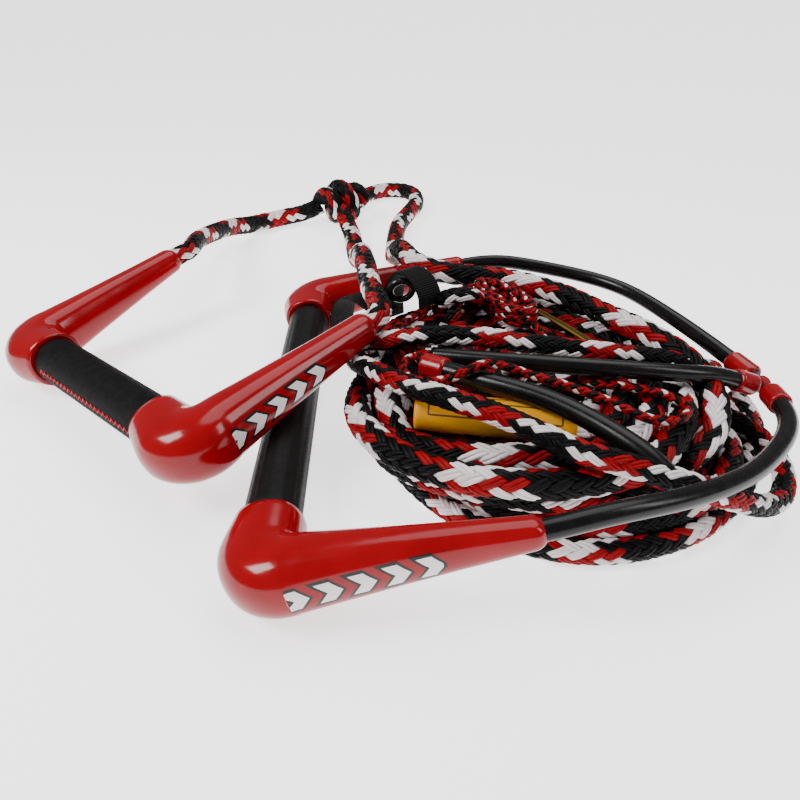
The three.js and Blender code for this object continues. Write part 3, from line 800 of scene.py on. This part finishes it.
# ---------- hoses, sleeves and the foil line ----------
near_hose_points = [
    [-57.9, -158.8, 44.6], [-32.6, -159, 50.8], [-9, -155, 56], [21, -146, 54.5], [52, -131, 50],
    [79, -113, 46], [98, -95, 44.5], [116, -74, 44], [123, -58, 43.5], [125, -42, 42], [124.5, -33, 41.6],
]
far_hose_points = [
    [-68.1, 149.1, 44.6], [-42.9, 150.9, 50.8], [-14, 148, 55], [2, 143, 54], [42, 132, 50],
    [74, 110, 48], [97, 64, 45.5],
    [112, 22, 43.5], [120, -6, 42.2], [122.6, -15, 41.8],
]
lead_hose_points = [
    [117.5, -25, 42], [112, -26.5, 43.5], [104, -29.5, 48], [93, -33, 54], [80, -37, 56.5], [62, -40, 59],
    [31, -41, 62], [0, -37, 62], [-25, -32, 61.5], [-48, -24, 59], [-76, -13, 55.6],
]
boat_hose_points = [
    [-82, -29, 58.3], [-69, -38, 59.3], [-51, -52, 61], [-23, -68, 62.2], [0, -86, 60], [14, -101, 57.5],
    [23, -112, 57.2], [31, -121, 53], [37, -127, 45],
]
line_out_points = [
    [-77, -12, 55.6], [-86, -6, 54], [-96, 6, 53.4], [-100, 24, 53.4], [-90, 42, 53.4], [-78, 58, 53.4],
    [-66, 73, 53.6], [-54, 85, 55], [-42.5, 89.5, 56.5],
]
line_back_points = [
    [-7.2, 27.5, 56.5], [-4, 17, 54.5], [-1, 4, 53.4], [3, -20, 53.4], [14, -40, 53.4], [34, -46, 53.4],
    [52, -54, 53.4], [60, -67, 53.4], [52, -79, 53.6], [36, -80, 54.5], [20, -70, 57], [5, -61, 59.5],
    [-12, -54, 62], [-27, -50, 65], [-39, -48, 68.4], [-49, -50, 70.6], [-59, -54, 69],
    [-69, -55.5, 64.5], [-82, -51, 60], [-91, -40, 56.5], [-94, -28, 55], [-91, -19, 56.5], [-85.5, -20, 58],
    [-83.2, -25.6, 58.3],
]
HOSE_STEP = 2.5
HOSE_SIDES = 20
HOSE_EASE = 60
near_hose = soften(route(near_hose_points, HOSE_STEP), HOSE_EASE)
far_hose = soften(route(far_hose_points, HOSE_STEP), HOSE_EASE)
lead_hose = soften(route(lead_hose_points, HOSE_STEP), HOSE_EASE)
boat_hose = soften(route(boat_hose_points, HOSE_STEP), HOSE_EASE)
line_out = route(line_out_points, LINE_STEP)
line_back = route(line_back_points, LINE_STEP)


def tube_piece(name, p, radius, material, nodes, sides=HOSE_SIDES, body="root"):
    strips = Strips()
    add_tube(strips, p, radius, sides, BLACK)
    return settle(strips_piece(name, strips, material), nodes, body)


for name, p, diameter, node in (
    ("near_bridle_hose", near_hose, LEG_D, "foil_near_hose"),
    ("far_bridle_hose", far_hose, LEG_D, "foil_far_hose"),
    ("lead_bridle_hose", lead_hose, LEG_D, "foil_lead_hose"),
    ("boat_end_hose", boat_hose, CHAFE_D, "boat_loop_hose"),
):
    made = tube_piece(name, p, diameter / 2 * MM, hose_material, (node,))


def sleeve_piece(name, p, diameter, size, node, at_end):
    """Red end sleeve, rounded at both lips, over the last or first stretch of a hose."""
    s = arc_lengths(p)
    size = size * MM
    begin = s[-1] - size if at_end else 0
    at = np.linspace(begin, begin + size, 25)
    run = np.stack([np.interp(at, s, p[:, i]) for i in range(3)], axis=1)
    t = (at - begin) / size
    lip = np.clip(np.minimum(t, 1 - t) / 0.12, 0, 1)
    rounded = np.sqrt(1 - (1 - lip) ** 2)
    radius = (diameter / 2 + 0.3 + 1.3 * rounded) * MM
    tube_piece(name, run, radius, sleeve_material, (node,), sides=28)


sleeve_piece("near_sleeve", near_hose, LEG_D, 16, "foil_near_sleeve", True)
sleeve_piece("far_sleeve", far_hose, LEG_D, 20, "foil_far_sleeve", True)
sleeve_piece("lead_sleeve", lead_hose, LEG_D, 16, "foil_lead_sleeve", False)
sleeve_piece("boat_sleeve", boat_hose, CHAFE_D, 16, "boat_loop_sleeve", False)


HANK_X, HANK_Y, HANK_HEIGHT = -22, 58, 53.4
HANK_HEADING = 0.4636
HANK_LAYER = 5.0


def hank_points():
    """The thin line wound into a small oval bundle on top of the coil."""
    rng = np.random.default_rng(5)
    points = []
    columns = (12.2, 8.2)
    layers = 3
    steps = 16
    for layer in range(layers):
        for column in (columns if layer % 2 == 0 else columns[::-1]):
            shift = rng.uniform(-1.2, 1.2, 2)
            for k in range(steps):
                angle = TAU * k / steps + 1.57
                x = column * math.cos(angle) + shift[0]
                y = (27 + column / 6) * math.sin(angle) + shift[1]
                points.append([HANK_X + x * math.cos(HANK_HEADING) - y * math.sin(HANK_HEADING),
                               HANK_Y + x * math.sin(HANK_HEADING) + y * math.cos(HANK_HEADING),
                               HANK_HEIGHT + HANK_LAYER * layer])
    return points


hank = route(hank_points(), LINE_STEP)
for name, p, node in (
    ("foil_line_out_run", line_out, "foil_line_out"),
    ("foil_line_bundle", hank, "foil_line_hank"),
    ("foil_line_back_run", line_back, "foil_line_back"),
):
    line_piece(name, p, (node,))


# ---------- handles ----------
FOIL = dict(spacing=301, collar=34.7, reach=124, splay=2.3, grip_r=15, corner=17, bulge=2.6,
            place=(-164, -8.2, 20), heading=1.9, tilt=13.7, dip=0,
            half_heights=(17.3, 17.6, 17.8, 17.4, 15.4, 13, 10.4, 7.6),
            half_widths=(17.5, 18, 18, 17, 13.6, 10.8, 8.8, 7.4))
SURF = dict(spacing=210, collar=36, reach=124, splay=4.5, grip_r=15.5, corner=18, bulge=4,
            place=(-282.5, -13.5, 31.2), heading=47.4, tilt=13.4, dip=-3.8,
            half_heights=(18, 18.5, 19, 18.3, 16, 13.8, 11.6, 9.6),
            half_widths=(18, 18, 17.5, 16.5, 13.6, 11.8, 10.4, 9.6))
GRIP_GAP = 0.4
BEFORE_ARM = -50  # place along the arm given to the corner, where no chevron is drawn


def turn_about_x(angle):
    c, s = math.cos(angle), math.sin(angle)
    return np.array([[1, 0, 0], [0, c, -s], [0, s, c]])


def turn_about_z(angle):
    c, s = math.cos(angle), math.sin(angle)
    return np.array([[c, -s, 0], [s, c, 0], [0, 0, 1]])


def handle_turn(spec):
    """Rotation of a handle: heading about Z, then dip about X, then tilt about Y."""
    h, d, t = (math.radians(spec[k]) for k in ("heading", "dip", "tilt"))
    about_y = np.array([[math.cos(t), 0, -math.sin(t)], [0, 1, 0], [math.sin(t), 0, math.cos(t)]])
    return turn_about_z(h) @ turn_about_x(d) @ about_y


def to_place(spec, rings):
    return (rings @ handle_turn(spec).T + np.array(spec["place"])) * MM


def value_at(values, place):
    low = min(len(values) - 1, int(place))
    high = min(len(values) - 1, low + 1)
    t = place - low
    eased = t if low < 3 else t * t * (3 - 2 * t) * 0.25 + t * 0.75
    return values[low] + (values[high] - values[low]) * eased


def arm_piece(name, spec, side, nodes, body, material):
    """One moulded arm: a squarish section swept round the corner and along the arm, with a rounded tip."""
    corner_y = side * spec["spacing"] / 2
    bend = spec["corner"]
    lean = math.tan(math.radians(spec["splay"]))
    tip = spec["half_heights"][7]
    stations = [(0, corner_y - side * spec["collar"], 0, 0)]
    run_in = 5
    for i in range(1, run_in + 1):
        t = i / (run_in + 1)
        stations.append((0, corner_y - side * (spec["collar"] * (1 - t) + bend * t), t, 0.8 * t))
    turns = 22
    for i in range(turns + 1):
        t = i / turns
        angle = t * math.pi / 2
        share = 0.8 + 0.2 * math.sin(2 * angle) - 0.8 * t ** 2
        stations.append((bend - bend * math.cos(angle), corner_y - side * (bend - bend * math.sin(angle)),
                         1 + t * 2, share))
    spans = 30
    straight = spec["reach"] - tip * 0.2 - bend
    for i in range(1, spans + 1):
        t = i / spans
        x = bend + t * straight
        stations.append((x, corner_y + side * lean * (x - bend), 3 + t * 4, 0))
    at = np.array(stations, float)
    smooth_sizes = np.array([[value_at(spec["half_widths"], k), value_at(spec["half_heights"], k)]
                             for k in at[:, 2]])
    sizes = np.column_stack([smooth_sizes, at[:, 3]])
    for _ in range(6):
        sizes[1:-1] = 0.5 * sizes[1:-1] + 0.25 * (sizes[:-2] + sizes[2:])
    sides = 56
    angle = np.linspace(0, TAU, sides, endpoint=False)
    squareness = 2 / 2.35
    u = np.sign(np.cos(angle)) * np.abs(np.cos(angle)) ** squareness
    v = np.sign(np.sin(angle)) * np.abs(np.sin(angle)) ** squareness
    rings, skins = [], []

    def add_ring(centre, outwards, w, h):
        ring = np.zeros((sides, 3))
        ring[:, 0] = centre[0] + outwards[0] * u * w
        ring[:, 1] = centre[1] + outwards[1] * u * w
        ring[:, 2] = v * h
        rings.append(ring)
        along = centre[0] if len(rings) > run_in + turns else BEFORE_ARM
        skins.append(np.column_stack([np.full(sides, along), v * h, u * w]))

    for k in range(len(at)):
        before, after = at[max(0, k - 1)], at[min(len(at) - 1, k + 1)]
        ahead = unit(after[:2] - before[:2])
        outwards = np.array([-ahead[1], ahead[0]]) * side
        w, h, share = sizes[k]
        push_out = spec["bulge"] * share
        add_ring(at[k][:2] + outwards * push_out, outwards, w + push_out, h)
    ahead = unit(np.array([1, side * lean]))
    outwards = np.array([-ahead[1], ahead[0]]) * side
    end = at[-1][:2]
    for angle_up in np.linspace(0.15, 1.5, 10):
        add_ring(end + ahead * tip * math.sin(angle_up), outwards,
                 spec["half_widths"][7] * math.cos(angle_up) ** 0.8, tip * math.cos(angle_up) ** 0.8)
    rings = np.array(rings)
    skins = np.array(skins)
    middle = rings[0].mean(axis=0)
    lip = middle + (rings[0] - middle) * 0.93 - np.array([0, side * 0.8, 0])
    inner = middle + (rings[0] - middle) * 0.8 + np.array([0, side * 1.0, 0])
    rings = np.concatenate([inner[None], lip[None], rings])
    skins = np.concatenate([skins[:1], skins[:1], skins])
    placed = to_place(spec, rings)
    if side > 0:
        placed, skins = placed[:, ::-1], skins[:, ::-1]
    strips = Strips()
    shut = np.concatenate([placed[:1].mean(axis=1, keepdims=True).repeat(sides, axis=1) * 0.98
                           + placed[:1] * 0.02, placed,
                           placed[-1:].mean(axis=1, keepdims=True).repeat(sides, axis=1)])
    skins = np.concatenate([skins[:1], skins, skins[-1:]])
    strips.add(shut, skins, RED)
    made = strips_piece(name, strips, material)
    made.data.attributes["yarn"].name = "skin"
    return settle(made, nodes, body)


def grip_piece(name, spec, material, ridges, nodes, body):
    half = spec["spacing"] / 2 - spec["collar"] - GRIP_GAP
    steps, sides = 60, 96
    y = np.linspace(-half, half, steps)
    angle = np.linspace(0, TAU, sides, endpoint=False)
    edge = np.clip((half - np.abs(y)) / 1.6, 0, 1)
    rounded = 1.5 * (1 - np.sqrt(1 - (1 - edge) ** 2))
    radius = spec["grip_r"] - rounded[:, None] - ridges * (0.5 + 0.5 * np.cos(angle * 16))[None, :] ** 2
    rings = np.stack([radius * np.sin(angle)[None, :], np.broadcast_to(y[:, None], radius.shape),
                      radius * np.cos(angle)[None, :]], axis=-1)
    hub = rings.copy()
    hub[..., 0] *= 0.8
    hub[..., 2] *= 0.8
    rings = np.concatenate([hub[:1], rings, hub[-1:]])
    placed = to_place(spec, rings)
    strips = Strips()
    strips.add(placed, np.zeros(placed.shape), BLACK)
    return settle(strips_piece(name, strips, material), nodes, body)


arm_piece("foil_arm_near", FOIL, -1, ("foil_near_arm",), "root", cover_marked)
arm_piece("foil_arm_far", FOIL, 1, ("foil_far_arm",), "root", cover_plain)
arm_piece("surf_arm_near", SURF, -1, ("surf_near_arm",), "surf_handle", cover_marked)
arm_piece("surf_arm_far", SURF, 1, ("surf_far_arm",), "surf_handle", cover_plain)
grip_piece("foil_grip_sleeve", FOIL, grip_rubber, 0.25, ("foil_grip",), "root")
grip_piece("surf_grip_sleeve", SURF, grip_neoprene, 0.0, ("surf_grip",), "surf_handle")


def stitch_row(spec, around, body):
    """A zigzag of thread along the grip's seam."""
    half = spec["spacing"] / 2 - spec["collar"] - 6
    pitch, reach, lift = 2.6, 1.5, 0.15
    points = []
    for k in range(int(2 * half / pitch)):
        y = -half + k * pitch
        angle = math.radians(around) + (reach / spec["grip_r"]) * (1 if k % 2 else -1)
        r = spec["grip_r"] + lift
        points.append([r * math.cos(angle), y, r * math.sin(angle)])
    placed = to_place(spec, np.array(points))
    tube_piece("surf_grip_stitches", resample(placed, 0.65 * MM), 0.42 * MM, stitch_material, (),
               sides=6, body=body)


SEAM_ANGLE = 163
stitch_row(SURF, SEAM_ANGLE, "surf_handle")


# ---------- tag, keeper, tape ----------
def tag_piece():
    axis = unit(TAG_TO - TAG_FROM)
    side = unit(np.cross(axis, [0, 0, 1.0]))
    up = np.cross(side, axis)
    steps, sides = 50, 72
    t = np.linspace(0, TAG_LENGTH, steps)
    angle = np.linspace(0, TAU, sides, endpoint=False)
    edge = np.clip(np.minimum(t, TAG_LENGTH - t) / 1.0, 0, 1)
    radius = TAG_RADIUS - 0.8 * (1 - edge)
    wrinkle = 0.12 * np.sin(t[:, None] * 0.21 + 2 * angle[None, :])
    radius = radius[:, None] + wrinkle - 0.1
    around = np.cos(angle)[None, :, None] * side + np.sin(angle)[None, :, None] * up
    middle = TAG_FROM + t[:, None, None] * axis
    rings = (middle + radius[..., None] * around) * MM
    inner = middle + TAG_INNER_RADIUS * around
    rings = np.concatenate([inner[:1] * MM, rings, inner[-1:] * MM])
    yarn = np.zeros(rings.shape)
    yarn[..., 0] = np.concatenate([[0], t, [TAG_LENGTH]])[:, None]
    yarn[..., 1] = (angle * TAG_RADIUS)[None, :]
    strips = Strips()
    strips.add(rings[:, ::-1], yarn[:, ::-1], WHITE)
    return settle(strips_piece("tag_sleeve", strips, tag_material()), ("warning_tag",), "root")


tag_piece()


def strap_piece(name, points, width, thickness, across, material, node, step=0.5):
    """A flat woven strap with rounded edges along a route; across is the direction of its width."""
    p = route(points, step)
    side = unit(np.array([*across, 0.0]))
    tangent = unit(np.gradient(p, axis=0))
    up = unit(np.cross(tangent, side))
    sides = 20
    angle = np.linspace(0, TAU, sides, endpoint=False)
    u = np.sign(np.cos(angle)) * np.abs(np.cos(angle)) ** 0.25 * width / 2
    v = np.sign(np.sin(angle)) * np.abs(np.sin(angle)) ** 0.8 * thickness / 2
    rings = p[:, None, :] + (u[None, :, None] * side + v[None, :, None] * up[:, None, :]) * MM
    s = arc_lengths(p) / MM
    rings = close_ends(rings, p)
    yarn = np.zeros(rings.shape)
    yarn[..., 0] = np.concatenate([[s[0]], s, [s[-1]]])[:, None]
    yarn[..., 1] = u[None, :]
    strips = Strips()
    strips.add(rings[:, ::-1], yarn[:, ::-1], BLACK)
    return settle(strips_piece(name, strips, material), (node,), "root")


band_points = [
    [-101, 88, 33.8], [-101.5, 88.5, 50], [-98, 84, 64], [-91.5, 75.5, 75.5], [-82, 64, 75], [-76, 56.5, 66],
    [-75, 55, 58],
]
tail_points = [
    [-107, 58, 51.9], [-114, 69, 52.2], [-124, 84, 51.5], [-133, 98, 46], [-139, 107, 36], [-142, 111.5, 22],
    [-143, 113, 2],
]
tape_points = [[-14, 83, 51], [-3, 67, 51], [8, 50, 51], [18, 32, 51], [27, 14, 51], [33, -4, 51]]
strap_piece("keeper_strap", band_points, 20, 2.2, (0.79, 0.61), band_material, "keeper_band")
strap_piece("keeper_strap_tail", tail_points, 22, 1.6, (0.8, 0.6), tail_material, "keeper_tail")
strap_piece("tie_tape_strip", tape_points, 5, 1.2, (0.85, 0.5), tape_material, "tie_tape")


RING_CENTRE = np.array([-95, 68, 63.2])
RING_RADIUS, RING_THICK = 8, 2.4


def ring_piece():
    angle = np.linspace(0, TAU, 73)
    tilt, turn = 0.25, 0.15
    circle = RING_RADIUS * np.stack([np.cos(angle), np.zeros_like(angle), np.sin(angle)], axis=1)
    move = turn_about_z(turn) @ turn_about_x(tilt)
    section = np.linspace(0, TAU, 24, endpoint=False)
    axis = move @ np.array([0, 1.0, 0])
    outwards = unit(circle) @ move.T
    around = np.cos(section)[None, :, None] * outwards[:, None, :] + np.sin(section)[None, :, None] * axis
    rings = (RING_CENTRE + circle @ move.T)[:, None, :] + RING_THICK * around
    strips = Strips()
    strips.add(rings[:, ::-1] * MM, np.zeros(rings.shape), BLACK)
    return settle(strips_piece("keeper_ring_gloss", strips, ring_material), ("keeper_ring",), "keeper_ring")


ring_piece()

# ---------- CAD pieces that stay, with their own finish ----------
INNER = {
    "foil_bar_tube": metal_material, "surf_bar_tube": metal_material,
    "foil_float_core": foam_material, "surf_float_core": foam_material,
    "foil_near_end_plug": plug_material, "foil_far_end_plug": plug_material,
    "surf_near_end_plug": plug_material, "surf_far_end_plug": plug_material,
    "surf_near_leg_tail": core_material, "surf_far_leg_tail": core_material,
    "foil_near_core": core_material, "foil_far_core": core_material, "foil_lead_core": core_material,
    "boat_loop_core": core_material, "foil_apex_splice": core_material,
}
for node_name, material in INNER.items():
    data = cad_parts[node_name].data
    data.materials.clear()
    data.materials.append(material)


# ---------- floor and light ----------
FLOOR_SIZE = 30.0
FLOOR_GLOW = 1.7


def make_floor():
    size, z = FLOOR_SIZE, -FLOOR_LIFT * MM
    mesh = bpy.data.meshes.new("floor")
    corners = [(-size, -size, z), (size, -size, z), (size, size, z), (-size, size, z)]
    mesh.from_pydata(corners, [], [(0, 1, 2, 3)])
    material, tree, shader = new_material("floor_pale")
    cloud = noise_node(tree, object_place(tree), 2.5, 2)
    tree.links.new(mix_colour(tree, cloud, (0.80, 0.80, 0.80), (0.84, 0.84, 0.84)),
                   shader.inputs["Base Color"])
    tree.links.new(map_range(tree, cloud, 0, 1, 0.75, 0.9), shader.inputs["Roughness"])
    shader.inputs["Emission Color"].default_value = (1, 1, 1, 1)
    shader.inputs["Emission Strength"].default_value = FLOOR_GLOW
    mesh.materials.append(material)
    made = bpy.data.objects.new("floor", mesh)
    bpy.context.scene.collection.objects.link(made)
    return made


def add_light(name, kind, place, target, power):
    data = bpy.data.lights.new(name, kind)
    data.energy = power
    made = bpy.data.objects.new(name, data)
    made.location = place
    made.rotation_euler = (Vector(target) - Vector(place)).to_track_quat("-Z", "Y").to_euler()
    bpy.context.scene.collection.objects.link(made)
    return made


def area_light(name, place, target, size, power):
    made = add_light(name, "AREA", place, target, power)
    made.data.shape = "RECTANGLE"
    made.data.size, made.data.size_y = size
    return made


sun = add_light("soft_sky", "SUN", (0.2, 0.9, 2.0), (-0.1, 0.05, 0), 1.8)
sun.data.angle = math.radians(50)
stage_things = [
    make_floor(),
    sun,
    area_light("softbox_left", (-1.0, -0.25, 1.0), (-0.1, 0.05, 0), (0.5, 0.5), 18),
    area_light("softbox_right", (0.9, -0.4, 0.9), (0, 0.05, 0), (0.3, 0.8), 6),
]
world = bpy.data.worlds.new("studio")
world.use_nodes = True
world.node_tree.nodes["Background"].inputs[0].default_value = (1, 1, 1, 1)
world.node_tree.nodes["Background"].inputs[1].default_value = 0.25
bpy.context.scene.world = world
